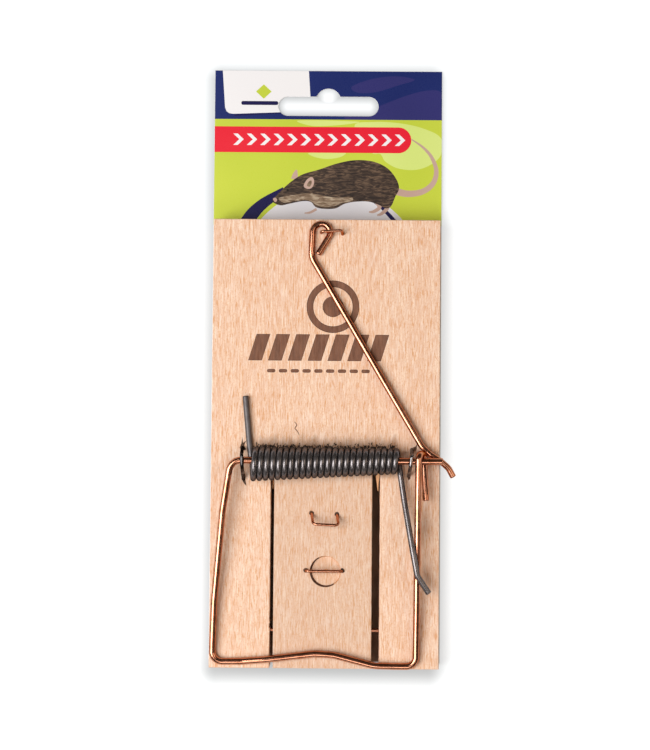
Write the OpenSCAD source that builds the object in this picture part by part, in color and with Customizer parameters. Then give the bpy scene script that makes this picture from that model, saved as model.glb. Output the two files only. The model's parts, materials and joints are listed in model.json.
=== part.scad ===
// Treadle snap trap on a hang card: a wooden board with a wire bow, a torsion spring, a treadle and a
// hooked lock bar. It lies flat: +X runs across the board, +Y towards the card's hang slot, +Z up from the
// underside. The origin is the middle of the board's footprint, on the underside of the card.

/* [Board] */
// Width of the board
board_w = 85; // [80:0.5:110]
// Length of the board
board_l = 167; // [160:0.5:210]
// Thickness of the board
board_t = 12; // [10:0.5:16]

/* [Treadle] */
// Width of the treadle
treadle_w = 36.4; // [25:0.1:42]
// Thickness of the treadle
treadle_t = 9; // [7:0.5:9.5]
// Length of the treadle, from the lower edge of the board
treadle_l = 72.5; // [60:0.5:74]
// Saw gap on the left of the treadle
gap_left = 1.15; // [0.8:0.05:3]
// Saw gap on the right of the treadle
gap_right = 2.9; // [0.8:0.05:3.5]
// Gap past the inner end of the treadle
gap_end = 1.2; // [0.8:0.1:3]
// Middle of the treadle across the board
treadle_x = -0.65; // [-3:0.05:3]
// Diameter of the bait recess
recess_d = 11.6; // [8:0.1:16]
// Depth of the bait recess
recess_depth = 1.2; // [0.5:0.1:3]
// Bait recess, from the lower edge of the board
recess_up = 35.7; // [30:0.1:42]

/* [Pivot pin] */
// Diameter of the treadle's pivot pin
pin_d = 1.4; // [1:0.1:2]
// Length of the pivot pin
pin_l = 80; // [60:1:84]
// Pivot pin, from the lower edge of the board
pin_up = 13.8; // [10:0.1:18]
// Pivot pin, below the top of the board
pin_down = 4.8; // [3:0.1:6]
// Radial clearance of the pin in the treadle
pin_clear = 0.08; // [0.03:0.01:0.1]

/* [Bow and shaft] */
// Diameter of the bow's wire
bow_wire = 2.5; // [1.6:0.05:3]
// Length of the bow, from its shaft to its bar
bow_l = 75; // [65:0.5:76]
// Shaft, from the middle of the board towards the lower edge
shaft_down = 6.8; // [4:0.1:9]
// Height of the shaft above the board
shaft_up = 6.2; // [6:0.1:8]
// Bow's left leg at the shaft, from the middle of the board
leg_left_top = 34.8; // [34.5:0.1:38]
// Bow's left leg at the bar, from the middle of the board
leg_left_end = 41.2; // [38:0.1:42]
// Bow's right leg, from the middle of the board
leg_right = 34.3; // [34:0.1:36]
// End of the shaft, from the middle of the board
shaft_end = 43.4; // [40:0.1:45]
// How far the middle of the bar is set in
bar_dip = 3.9; // [0:0.1:6]
// How far the middle of the bar is raised over the treadle
bar_rise = 0.6; // [0.5:0.05:1]
// Bend radius at the bow's corners by its bar
bow_bend = 3.6; // [2.5:0.1:5]
// Bend radius from the shaft to the bow's left leg
shaft_bend = 4.6; // [3:0.1:5]
// How far the left leg bulges outwards
leg_bulge = 1.3; // [0:0.1:2]
// Gap between the hook and the shaft that it closes over
hook_gap = 0.15; // [0.1:0.01:0.5]
// Length of the tail past the hook
tail_l = 14.5; // [8:0.5:20]

/* [Torsion spring] */
// Diameter of the spring's wire
spring_wire = 2.2; // [1.6:0.05:2.2]
// Outer diameter of the coil at its left end
coil_d_left = 13; // [11:0.1:13]
// Outer diameter of the coil at its right end
coil_d_right = 9.7; // [8.5:0.1:11]
// Length of the coil
coil_l = 56.1; // [40:0.1:57]
// Left end of the coil, from the middle of the board
coil_left = 27; // [20:0.1:27]
// Turns in the coil
coil_turns = 24; // [14:1:24]

/* [Staples] */
// Wire of the two shaft staples
shaft_staple_wire = 1.3; // [1:0.05:1.5]
// Wire of the thin staples
thin_staple_wire = 1.05; // [0.8:0.05:1.2]
// Depth that the staples are driven in
staple_depth = 6; // [3:0.5:7]
// Clearance between the shaft and its staples
shaft_clear = 0.1; // [0.05:0.01:0.2]

/* [Lock bar] */
// Diameter of the lock bar's wire
lock_wire = 2.3; // [1.6:0.05:2.8]
// Centreline radius of the lock bar's eye
eye_r = 3.3; // [3:0.1:4]
// Eye, from the upper edge of the board
eye_down = 5.1; // [4.5:0.1:10]
// Eye, from the middle of the board
eye_x = -2.2; // [-5:0.1:5]
// How far the lock bar rises towards its tip
lock_rise = 1.2; // [0.2:0.1:2]

/* [Hang card] */
// Width of the card
card_w = 87; // [80:0.5:110]
// Thickness of the card
card_t = 0.5; // [0.3:0.05:1]
// Length of the card past the upper edge of the board
card_head = 59; // [45:0.5:80]
// How far the card stops short of the lower edge of the board
card_short = 2; // [0:0.5:10]
// Width of the hang slot
slot_w = 38.3; // [25:0.1:45]
// Height of the hang slot
slot_h = 7.4; // [5:0.1:10]
// Radius of the bump above the hang slot
slot_bump = 4.8; // [3:0.1:6]
// Middle of the hang slot, below the top of the card
slot_down = 13.7; // [10:0.1:20]

/* [Hidden] */
$fn = 48;
tiny = 0.05;
top = card_t + board_t;
low_y = -board_l / 2;
high_y = board_l / 2;
wire_gap = 0.06;
tongue_l = 8.3;
bump_rise = 3.1;
staple_bend = 0.9;
staple_sides = 10;
spring_sides = 8;
steps_per_turn = 16;
shaft_y = -shaft_down;
shaft_z = top + shaft_up;
bar_y = shaft_y - bow_l;
bar_z = top + bow_wire / 2 + wire_gap;
pin_y = low_y + pin_up;
pin_z = top - pin_down;
treadle_top_y = low_y + treadle_l;
recess_y = low_y + recess_up;
eye_y = high_y - eye_down;
eye_z = top + lock_wire / 2 + wire_gap;
lock_end_z = eye_z + lock_rise;
hook_r = bow_wire + hook_gap;
tail_x = leg_right + bow_wire - 0.1;
coil_r_left = (coil_d_left - spring_wire) / 2;
coil_r_right = (coil_d_right - spring_wire) / 2;
coil_x0 = -coil_left;
coil_x1 = coil_x0 + coil_l - spring_wire;
staple_top = shaft_z + bow_wire / 2 + shaft_clear + shaft_staple_wire / 2;
copper = [0.72, 0.43, 0.31];
dark_steel = [0.22, 0.21, 0.22];
beech = [0.93, 0.77, 0.66];

function unit(v) = v / norm(v);
function mix(a, b, t) = a + (b - a) * t;

// Angle that a wire turns through at its point i
function turn_at(points, i) =
    acos(min(1, max(-1, unit(points[i] - points[i - 1]) * unit(points[i + 1] - points[i]))));

// Points along the bend of radius r at a wire's corner, where it turns from one way to another
function bend_points(corner, from, to, r, turned) =
    let (out = cross(from, unit(cross(from, to))), centre = corner - from * r * tan(turned / 2) - out * r,
        n = ceil(turned / 20))
    [for (k = [0 : n]) centre + r * (cos(turned * k / n) * out + sin(turned * k / n) * from)];

// The centreline of a wire through the points, bent at each inner point to the radius in bends
function centreline(points, bends) =
    let (last = len(points) - 1)
    [for (i = [0 : last]) each i == 0 || i == last || bends[i] == 0 || turn_at(points, i) < 1 ? [points[i]] :
        bend_points(points[i], unit(points[i] - points[i - 1]), unit(points[i + 1] - points[i]), bends[i],
            turn_at(points, i))];

// Corner points that, each with a bend of radius r, follow a circle from angle a0 to a1 in n bends
function arc_corners(centre, r, a0, a1, n) =
    let (step = (a1 - a0) / n)
    [for (i = [0 : n - 1]) let (a = a0 + (i + 0.5) * step)
        centre + r / cos(step / 2) * [cos(a), sin(a), 0]];

// Directions along a path at its points
function ways(path) =
    let (last = len(path) - 1)
    [for (i = [0 : last]) unit(path[min(i + 1, last)] - path[max(i - 1, 0)])];

// A sideways direction for each point, carried along the path without twisting
function sides_along(way, i, side) =
    i == len(way) ? [] :
    let (s = unit(side - (side * way[i]) * way[i])) concat([s], sides_along(way, i + 1, s));

// A round wire of diameter d along a path
module sweep(path, d, sides, side) {
    last = len(path) - 1;
    way = ways(path);
    across = sides_along(way, 0, side);
    rings = [for (i = [0 : last], j = [0 : sides - 1])
        let (a = j * 360 / sides)
        path[i] + d / 2 * (cos(a) * across[i] + sin(a) * cross(way[i], across[i]))];
    walls = [for (i = [0 : last - 1], j = [0 : sides - 1])
        let (a = i * sides + j, b = i * sides + (j + 1) % sides) [a, a + sides, b + sides, b]];
    ends = [[for (j = [0 : sides - 1]) j], [for (j = [0 : sides - 1]) (last + 1) * sides - 1 - j]];
    polyhedron(rings, concat(walls, ends));
}

// A staple: two driven legs and a crown, with its feet at a and b on the board
module staple(a, b, crown_a, crown_b, d) {
    down = [0, 0, staple_depth];
    points = [a - down, a, crown_a, crown_b, b, b - down];
    bends = [0, staple_bend, staple_bend, staple_bend, staple_bend, 0];
    sweep(centreline(points, bends), d, staple_sides, [0.6, 0.8, 0]);
}

module driven_hole(at, d) {
    translate(at - [0, 0, staple_depth]) cylinder(h = staple_depth + 1, d = d);
}

left_feet = [[-30.9, shaft_y + 4.6, top], [-30.4, shaft_y - 7, top]];
right_feet = [[32.2, shaft_y + 4.4, top], [31, shaft_y - 5.6, top]];
catch_feet = [[-4.9, low_y + 57.1, top], [4.5, low_y + 56.7, top]];
bait_feet = [[treadle_x - 6.2, recess_y + 0.2, top], [treadle_x + 7.1, recess_y + 0.2, top]];
lock_feet = [[eye_x, eye_y, top], [eye_x + 8, eye_y - 0.5, top]];

module shaft_staple(feet) {
    a = feet[0];
    b = feet[1];
    crown = [(a.x + b.x) / 2, shaft_y, staple_top];
    half = 1.9 * unit(a - b);
    color(dark_steel) staple(a, b, crown + half, crown - half, shaft_staple_wire);
}

module header_card() {
    color([0.76, 0.83, 0.22])
        linear_extrude(height = card_t) difference() {
            slot_y = high_y + card_head - slot_down;
            square_w = slot_w - slot_h;
            translate([-card_w / 2, low_y + card_short])
                square([card_w, board_l - card_short + card_head]);
            translate([-square_w / 2, slot_y - slot_h / 2]) square([square_w, slot_h]);
            for (x = [-square_w / 2, square_w / 2]) translate([x, slot_y]) circle(d = slot_h);
            translate([0, slot_y + slot_h / 2 - slot_bump + bump_rise]) circle(r = slot_bump);
        }
}

// The slot that the treadle lies in, open at the lower edge, with a splinter left at its right inner corner
module treadle_slot() {
    x0 = treadle_x - treadle_w / 2 - gap_left;
    x1 = treadle_x + treadle_w / 2 + gap_right;
    y1 = treadle_top_y + gap_end;
    // The splinter's place across the right saw gap, at its root and at its tip
    root = 0.6;
    tip = 0.3;
    translate([0, 0, card_t - 1]) linear_extrude(height = board_t + 2)
        polygon([[x0, low_y - 1], [x1, low_y - 1], [x1, y1 - 2], [x1 - 0.22 * gap_right, y1 - tongue_l],
            [x1 - tip * gap_right, y1 - tongue_l], [x1 - root * gap_right, y1], [x0, y1]]);
}

module base_board() {
    color(beech) difference() {
        translate([-board_w / 2, low_y, card_t]) cube([board_w, board_l, board_t]);
        treadle_slot();
        translate([-pin_l / 2, pin_y, pin_z]) rotate([0, 90, 0]) cylinder(h = pin_l, d = pin_d);
        for (foot = concat(left_feet, right_feet)) driven_hole(foot, shaft_staple_wire);
        for (foot = lock_feet) driven_hole(foot, thin_staple_wire);
    }
}

module treadle() {
    bore = pin_d + 2 * pin_clear;
    color(beech) difference() {
        translate([treadle_x - treadle_w / 2, low_y, top - treadle_t])
            cube([treadle_w, treadle_l, treadle_t]);
        translate([treadle_x - treadle_w, pin_y, pin_z]) rotate([0, 90, 0])
            cylinder(h = 2 * treadle_w, d = bore);
        translate([treadle_x + 1, recess_y, top - recess_depth])
            cylinder(h = recess_depth + 1, d = recess_d);
        for (foot = concat(catch_feet, bait_feet)) driven_hole(foot, thin_staple_wire);
    }
}

module pivot_pin() {
    color(copper) translate([-pin_l / 2, pin_y, pin_z]) rotate([0, 90, 0]) cylinder(h = pin_l, d = pin_d);
}

module catch_staple() {
    lean = [0, -3.8, 4.8];
    color(copper) staple(catch_feet[0], catch_feet[1], catch_feet[0] + lean + [0.6, 0, 0],
        catch_feet[1] + lean + [0.6, 0, 0], thin_staple_wire);
}

module bait_staple() {
    rise = [0, 0, 1.6];
    color(copper) staple(bait_feet[0], bait_feet[1], bait_feet[0] + rise + [0.3, 0, 0],
        bait_feet[1] + rise - [0.3, 0, 0], thin_staple_wire);
}

module lock_staple() {
    rise = [0, 0, lock_wire + thin_staple_wire / 2 + 1.3];
    // The leg that the lock bar swivels on is a true cylinder
    color(copper) {
        staple(lock_feet[0], lock_feet[1], lock_feet[0] + rise, lock_feet[1] + rise + [-0.4, 1, 0],
            thin_staple_wire - 0.02);
        translate(lock_feet[0] - [0, 0, staple_depth])
            cylinder(h = staple_depth + rise.z - 1, d = thin_staple_wire);
    }
}

// A point on the bow's left leg, from the shaft at 0 to the bar at 1, moved outwards by bulge
function left_leg(t, bulge) =
    [-mix(leg_left_top, leg_left_end, t) - bulge, mix(shaft_y, bar_y + 0.7, t), mix(shaft_z, bar_z, t)];

module striker_bow() {
    hook_x = leg_right;
    // The bar, set in towards the shaft in its middle and raised a little over the treadle
    rise = bar_z + bar_rise;
    bar = [[-30, bar_y + 0.9, bar_z], [-22, bar_y + 1.6, rise], [-3.5, bar_y + bar_dip, rise],
        [3.5, bar_y + bar_dip - 0.4, rise], [18.5, bar_y - 0.3, rise], [26, bar_y - 0.5, bar_z]];
    hook_start = [hook_x, shaft_y - 0.4, shaft_z + hook_r];
    frame_points = concat(
        [[shaft_bend - leg_left_top + 1, shaft_y, shaft_z], [-leg_left_top, shaft_y, shaft_z],
            left_leg(0.25, leg_bulge), left_leg(0.7, leg_bulge), left_leg(0.9, 0.4 * leg_bulge),
            left_leg(1, 0)],
        bar,
        [[hook_x - 0.3, bar_y - 0.5, bar_z], hook_start,
            [hook_x + 0.1, shaft_y + hook_r, shaft_z + hook_r],
            [tail_x - 0.1, shaft_y + hook_r, shaft_z - hook_r],
            [tail_x, shaft_y - 0.4, shaft_z - hook_r], [tail_x + 0.6, shaft_y - tail_l, shaft_z - hook_r]]);
    frame_bends = [0, shaft_bend, 40, 60, 40, bow_bend, 10, 10, 10, 10, 10, 8, bow_bend, 0.3, 2.2, 2.2,
        0.3, 0];
    // The shaft is a true cylinder, and the bent rest of the wire lies just inside it where they meet
    color(copper) {
        sweep(centreline(frame_points, frame_bends), bow_wire - 0.02, 12, [0, 0.6, 0.8]);
        translate([shaft_bend - leg_left_top, shaft_y, shaft_z]) rotate([0, 90, 0])
            cylinder(h = shaft_end + leg_left_top - shaft_bend, d = bow_wire);
    }
}

module lock_bar() {
    eye = [eye_x, eye_y, eye_z];
    // The bar passes the bow's hook and tail with a small gap, and goes under the end of the shaft
    apart = (bow_wire + lock_wire) / 2;
    far = [leg_right + 1.5, shaft_y + hook_r + apart + 0.35, lock_end_z - 0.1];
    past = [tail_x + apart - 0.2, shaft_y + hook_r - 0.05, lock_end_z];
    tip = [tail_x + 10.9, shaft_y - 5.6, lock_end_z - 0.6];
    points = concat(
        [eye + [-1.1, -8.2, 0]],
        arc_corners(eye, eye_r, -38, 172, 3),
        [eye + [-3.7, -9.2, 0], far, past, [tail_x + 6, shaft_y + 0.2, lock_end_z], tip]);
    bends = [0, eye_r, eye_r, eye_r, 3, 4, 4, 2.5, 0];
    color(copper) sweep(centreline(points, bends), lock_wire, 12, [0.6, 0, 0.8]);
}

// Centre of the coil's wire at t turns: the coil tapers, and its axis nears the shaft towards the right
function coil_point(t) =
    let (s = t / coil_turns, r = mix(coil_r_left, coil_r_right, s), angle = -90 - 360 * t,
        lift = mix(top + tiny + spring_wire / 2 + coil_r_left - shaft_z, 0, s))
    [coil_x0 + mix(0, coil_x1 - coil_x0, s), shaft_y + mix(-1.4, 0, s) + r * cos(angle),
        shaft_z + lift + r * sin(angle)];

// Height of the bow's right leg, along Y
function leg_z(y) = mix(bar_z, shaft_z + hook_r, (y - bar_y) / bow_l);

module torsion_spring() {
    start = coil_point(0);
    end = coil_point(coil_turns);
    floor_z = top + tiny + spring_wire / 2;
    // The left leg lies on the board, and the right leg crosses over the bow's right leg and holds it down
    left_leg = [[start.x - 2.9, shaft_y + 23.8, floor_z], [start.x - 1.1, shaft_y + 5, floor_z],
        [start.x - 0.5, start.y + 2, start.z]];
    over = (bow_wire + spring_wire) / 2 + 0.3;
    near_y = shaft_y - 32.5;
    cross_y = shaft_y - 42;
    end_y = shaft_y - 48.3;
    right_leg = [[end.x + 0.5, end.y - 2, end.z], [leg_right - 5.1, shaft_y - 14, end.z + 1.2],
        [leg_right - 2, near_y, leg_z(near_y) + 0.75 * over],
        [leg_right - 0.2, cross_y, leg_z(cross_y) + over],
        [leg_right + 4.1, end_y, leg_z(end_y) + 0.8 * over]];
    coil = [for (i = [0 : steps_per_turn * coil_turns]) coil_point(i / steps_per_turn)];
    color(dark_steel) sweep(concat(left_leg, coil, right_leg), spring_wire, spring_sides, [1, 0, 0.1]);
}

header_card();
base_board();
treadle();
pivot_pin();
catch_staple();
bait_staple();
striker_bow();
torsion_spring();
shaft_staple(left_feet);  // shaft_staple_left
shaft_staple(right_feet);  // shaft_staple_right
lock_bar();
lock_staple();
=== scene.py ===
import json
import math
import random

import bmesh
import bpy
from mathutils import Matrix, Vector
from mathutils.geometry import delaunay_2d_cdt


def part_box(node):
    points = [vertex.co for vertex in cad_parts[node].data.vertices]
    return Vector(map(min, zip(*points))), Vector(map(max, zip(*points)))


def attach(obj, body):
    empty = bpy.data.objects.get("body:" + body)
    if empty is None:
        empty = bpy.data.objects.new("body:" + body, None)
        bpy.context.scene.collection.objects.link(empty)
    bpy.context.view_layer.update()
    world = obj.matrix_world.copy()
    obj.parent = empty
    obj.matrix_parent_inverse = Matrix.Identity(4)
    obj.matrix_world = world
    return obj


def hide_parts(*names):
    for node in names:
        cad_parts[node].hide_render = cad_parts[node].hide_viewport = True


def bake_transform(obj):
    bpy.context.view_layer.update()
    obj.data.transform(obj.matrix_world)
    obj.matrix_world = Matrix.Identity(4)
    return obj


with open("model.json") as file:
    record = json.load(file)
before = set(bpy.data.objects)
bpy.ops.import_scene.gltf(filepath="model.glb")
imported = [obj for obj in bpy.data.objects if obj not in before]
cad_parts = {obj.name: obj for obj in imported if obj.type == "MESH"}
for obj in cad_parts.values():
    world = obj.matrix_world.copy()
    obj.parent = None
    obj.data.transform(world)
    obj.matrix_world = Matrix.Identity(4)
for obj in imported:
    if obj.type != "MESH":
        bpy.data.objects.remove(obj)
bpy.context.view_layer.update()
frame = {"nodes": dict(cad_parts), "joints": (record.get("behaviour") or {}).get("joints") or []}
mm = 0.001

# places that everything else is worked out from, in millimetres in the frame's own axes
jointAt = {j["name"]: Vector(j["pos_m"]) / mm for j in frame["joints"]}
boardLow, boardHigh = (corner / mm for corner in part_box("base_board"))
cardLow, cardHigh = (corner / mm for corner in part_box("header_card"))
treadleLow, treadleHigh = (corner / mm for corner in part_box("treadle"))
boardTop = boardHigh.z
shaftAt = jointAt["bow_swing"]
eyeAt = jointAt["lock_swivel"]
pinAt = jointAt["treadle_press"]


def addNode(tree, kind, inputs=None, **settings):
    node = tree.nodes.new(kind)
    for name, value in settings.items():
        setattr(node, name, value)
    for key, value in (inputs or {}).items():
        socket = node.inputs[key]
        if isinstance(value, bpy.types.NodeSocket):
            tree.links.new(value, socket)
        else:
            socket.default_value = value
    return node


def startMaterial(name, metallic=0.0, roughness=0.5):
    material = bpy.data.materials.new(name)
    material.use_nodes = True
    tree = material.node_tree
    shader = tree.nodes["Principled BSDF"]
    shader.inputs["Metallic"].default_value = metallic
    shader.inputs["Roughness"].default_value = roughness
    return material, tree, shader


def stretchedNoise(tree, stretch, detail=3.0, roughness=0.55, distortion=0.0):
    # noise on Object coordinates, with stretch features per metre along X, Y and Z
    place = addNode(tree, "ShaderNodeTexCoord")
    mapping = addNode(tree, "ShaderNodeMapping", {"Vector": place.outputs["Object"], "Scale": stretch})
    noise = addNode(tree, "ShaderNodeTexNoise", {"Vector": mapping.outputs[0], "Scale": 1.0, "Detail": detail,
                                                 "Roughness": roughness, "Distortion": distortion})
    return noise.outputs["Fac"]


def ramp(tree, factor, stops):
    node = addNode(tree, "ShaderNodeValToRGB", {"Fac": factor})
    elements = node.color_ramp.elements
    while len(elements) < len(stops):
        elements.new(0.5)
    for element, (position, colour) in zip(elements, stops):
        element.position = position
        element.color = (*colour, 1.0) if len(colour) == 3 else colour
    return node.outputs["Color"]


def mixColour(tree, factor, first, second):
    node = addNode(tree, "ShaderNodeMix", data_type="RGBA", blend_type="MIX")
    for socket, value in ((node.inputs[0], factor), (node.inputs[6], first), (node.inputs[7], second)):
        if isinstance(value, bpy.types.NodeSocket):
            tree.links.new(value, socket)
        else:
            socket.default_value = value if isinstance(value, float) else (*value, 1.0)
    return node.outputs[2]


def between(tree, value, low, high, atLow, atHigh):
    # from atLow to atHigh as the value runs from low to high, and level past them
    return addNode(tree, "ShaderNodeMapRange", {"Value": value, "From Min": low, "From Max": high, "To Min": atLow,
                                                "To Max": atHigh}).outputs[0]


def spread(tree, noise, low, high):
    return between(tree, noise, 0.3, 0.7, low, high)


def sums(tree, operation, first, second, clamp=False):
    return addNode(tree, "ShaderNodeMath", {0: first, 1: second}, operation=operation, use_clamp=clamp).outputs[0]


def times(tree, first, second):
    return sums(tree, "MULTIPLY", first, second, clamp=True)


def bumpFrom(tree, shader, height, strength, distance):
    node = addNode(tree, "ShaderNodeBump", {"Height": height, "Strength": strength, "Distance": distance})
    tree.links.new(node.outputs[0], shader.inputs["Normal"])


def beechMaterial(name, scorch=None, endGrain=False, warm=0.0, darkerBy=0.0, withCoilShadowAndSpecks=False):
    # planed beech: pale orange, grain along Y, with fine fibres and sparse short brown ray flecks
    material, tree, shader = startMaterial(name, roughness=0.6)
    shader.inputs["Specular IOR Level"].default_value = 0.12
    if endGrain:
        fine, broad, dash = (1500, 1500, 2400), (90, 60, 420), (1700, 900, 1900)
    else:
        fine, broad, dash = (3700, 380, 3700), (75, 6, 75), (2700, 260, 2700)
    fibres = stretchedNoise(tree, fine, detail=3.0, roughness=0.7)
    bands = stretchedNoise(tree, broad, detail=3.0, distortion=0.6)
    dashes = stretchedNoise(tree, dash, detail=1.0, roughness=0.4, distortion=0.25)
    pale = stretchedNoise(tree, (2600, 170, 2600), detail=1.5, roughness=0.5, distortion=0.2)
    lines = stretchedNoise(tree, (800, 30, 800), detail=4.0, distortion=0.5)
    pores = stretchedNoise(tree, (2700, 1500, 2700), detail=2.0)
    streaks = stretchedNoise(tree, (2300, 190, 2300), detail=2.0, roughness=0.6)
    wood = ramp(tree, bands, [(0.28, (0.78, 0.53, 0.40)), (0.5, (0.82, 0.592, 0.456)), (0.72, (0.85, 0.638, 0.502))])
    for marking, low, high, atLow, atHigh, tint in (
            (lines, 0.3, 0.7, 0.0, 0.34, (0.76, 0.43, 0.25)), (fibres, 0.42, 0.54, 0.5, 0.0, (0.77, 0.44, 0.26)),
            (pale, 0.52, 0.62, 0.0, 0.55, (0.95, 0.74, 0.57)), (pores, 0.53, 0.62, 0.0, 0.55, (0.72, 0.38, 0.19)),
            (dashes, 0.60, 0.65, 0.0, 0.75, (0.66, 0.31, 0.13)), (streaks, 0.34, 0.46, 0.5, 0.0, (0.72, 0.43, 0.28)),
            (streaks, 0.54, 0.66, 0.0, 0.5, (0.94, 0.77, 0.66))):
        wood = mixColour(tree, between(tree, marking, low, high, atLow, atHigh), wood, tint)
    # end grain darker; the other two mix toward orange and toward a darker brown
    for amount, tint in ((0.35 if endGrain else 0.0, (0.62, 0.38, 0.25)), (warm, (0.62, 0.29, 0.11)),
                         (darkerBy, (0.45, 0.30, 0.21))):
        if amount:
            wood = mixColour(tree, amount, wood, tint)
    if withCoilShadowAndSpecks:
        # painted shadow of the coil along its upper edge, then black grit specks there
        coilShadow, specks = coilShadowAndSpecks(tree)
        wood = mixColour(tree, coilShadow, wood, (0.13, 0.042, 0.010))
        wood = mixColour(tree, specks, wood, (0.012, 0.008, 0.006))
    if scorch:
        burn = stretchedNoise(tree, (900, 160, 900), detail=4.0, roughness=0.7)
        dark, light = scorch
        wood = mixColour(tree, 0.94, wood, ramp(tree, burn, [(0.35, dark), (0.65, light)]))
    tree.links.new(wood, shader.inputs["Base Color"])
    tree.links.new(spread(tree, fibres, 0.5, 0.7), shader.inputs["Roughness"])
    bumpFrom(tree, shader, sums(tree, "SUBTRACT", fibres, dashes), 0.5, 0.00012)
    return material


def coilShadowAndSpecks(tree):
    # a darker brown band along the coil's upper edge, fading over a few millimetres: painted shadow of the coil; and
    # black grit specks along that edge
    place = addNode(tree, "ShaderNodeTexCoord")
    axes = addNode(tree, "ShaderNodeSeparateXYZ", {0: place.outputs["Object"]})
    wobble = stretchedNoise(tree, (330, 120, 330), detail=3.0)
    lift = addNode(tree, "ShaderNodeMath", {0: wobble, 1: 0.0075, 2: -0.0052}, operation="MULTIPLY_ADD")
    height = sums(tree, "SUBTRACT", axes.outputs["Y"], lift.outputs[0])
    away = addNode(tree, "ShaderNodeMath", {0: axes.outputs["X"]}, operation="ABSOLUTE")
    ends = between(tree, away.outputs[0], 0.0255, 0.0285, 1.0, 0.0)
    below = between(tree, axes.outputs["Y"], -0.0135, -0.010, 0.0, 1.0)
    coilShadow = times(tree, between(tree, height, -0.0030, 0.0042, 0.95, 0.0), times(tree, ends, below))
    grit = stretchedNoise(tree, (1500, 900, 1500), detail=3.0, roughness=0.6, distortion=0.6)
    band = times(tree, between(tree, axes.outputs["Y"], -0.0016, 0.0010, 0.30, 0.0),
                 between(tree, axes.outputs["Y"], -0.006, -0.004, 0.0, 1.0))
    edge = sums(tree, "ADD", grit, times(tree, band, ends))
    return coilShadow, between(tree, edge, 0.745, 0.775, 0.0, 0.95)


def wireMaterial(name, colours, roughness, streak, edge, metal=1.0, dullUntil=0.0):
    # drawn wire: streaks along the wire from the path's own measure, patches from Object coordinates
    material, tree, shader = startMaterial(name, metallic=metal, roughness=roughness[0])
    shader.inputs["Specular Tint"].default_value = (*edge, 1)
    along = addNode(tree, "ShaderNodeAttribute", attribute_name="along").outputs["Fac"]
    around = addNode(tree, "ShaderNodeAttribute", attribute_name="around").outputs["Vector"]
    sides = addNode(tree, "ShaderNodeSeparateXYZ", {0: around}).outputs
    vector = addNode(tree, "ShaderNodeCombineXYZ", {"X": along, "Y": sides["X"], "Z": sides["Y"]}).outputs[0]
    mapping = addNode(tree, "ShaderNodeMapping", {"Vector": vector, "Scale": (60, 1300, 1300)})
    lines = addNode(tree, "ShaderNodeTexNoise", {"Vector": mapping.outputs[0], "Scale": 1.0, "Detail": 4.0})
    patches = stretchedNoise(tree, (260, 260, 260), detail=5.0, roughness=0.65)
    colour = ramp(tree, patches, [(0.34, colours[0]), (0.52, colours[1]), (0.7, colours[2])])
    colour = mixColour(tree, spread(tree, lines.outputs["Fac"], 0.0, streak), colour, colours[0])
    tree.links.new(colour, shader.inputs["Base Color"])
    rough = spread(tree, patches, roughness[0], roughness[1])
    if dullUntil:
        # the free end that lies on the board is scaled and dull
        rough = sums(tree, "ADD", rough, between(tree, along, dullUntil - 0.003, dullUntil, 0.3, 0.0))
    tree.links.new(rough, shader.inputs["Roughness"])
    bumpFrom(tree, shader, lines.outputs["Fac"], 0.12, 0.00005)
    return material


def printMaterial(name, light, dark, gloss=0.12, clouds=(25, 25, 25)):
    # offset print under a thin varnish: slow tone change over the sheet, with fine dots in it
    material, tree, shader = startMaterial(name, roughness=0.3)
    shader.inputs["Specular IOR Level"].default_value = 0.3
    shader.inputs["Coat Weight"].default_value = gloss
    shader.inputs["Coat Roughness"].default_value = 0.18
    tone = stretchedNoise(tree, clouds, detail=1.0)
    dots = stretchedNoise(tree, (5200, 5200, 5200), detail=1.0)
    colour = mixColour(tree, spread(tree, tone, 0.0, 1.0), dark, light)
    colour = mixColour(tree, spread(tree, dots, 0.0, 0.12), colour, light)
    tree.links.new(colour, shader.inputs["Base Color"])
    tree.links.new(spread(tree, dots, 0.26, 0.36), shader.inputs["Roughness"])
    bumpFrom(tree, shader, dots, 0.05, 0.00002)
    return material


def furMaterial(name, tones):
    material, tree, shader = startMaterial(name, roughness=0.5)
    shader.inputs["Coat Weight"].default_value = 0.25
    shader.inputs["Specular IOR Level"].default_value = 0.3
    hairs = stretchedNoise(tree, (330, 1500, 420), detail=3.0, roughness=0.65, distortion=0.7)
    shade = stretchedNoise(tree, (90, 140, 60), detail=2.0)
    colour = ramp(tree, hairs, [(0.38, tones[0]), (0.5, tones[1]), (0.60, tones[2])])
    colour = mixColour(tree, spread(tree, shade, 0.0, 0.6), colour, tones[0])
    tree.links.new(colour, shader.inputs["Base Color"])
    return material


beech = beechMaterial("beech", withCoilShadowAndSpecks=True)
beechEnd = beechMaterial("beechEndGrain", endGrain=True)
beechScorched = beechMaterial("beechScorched", scorch=((0.115, 0.043, 0.025), (0.205, 0.085, 0.048)))
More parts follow.
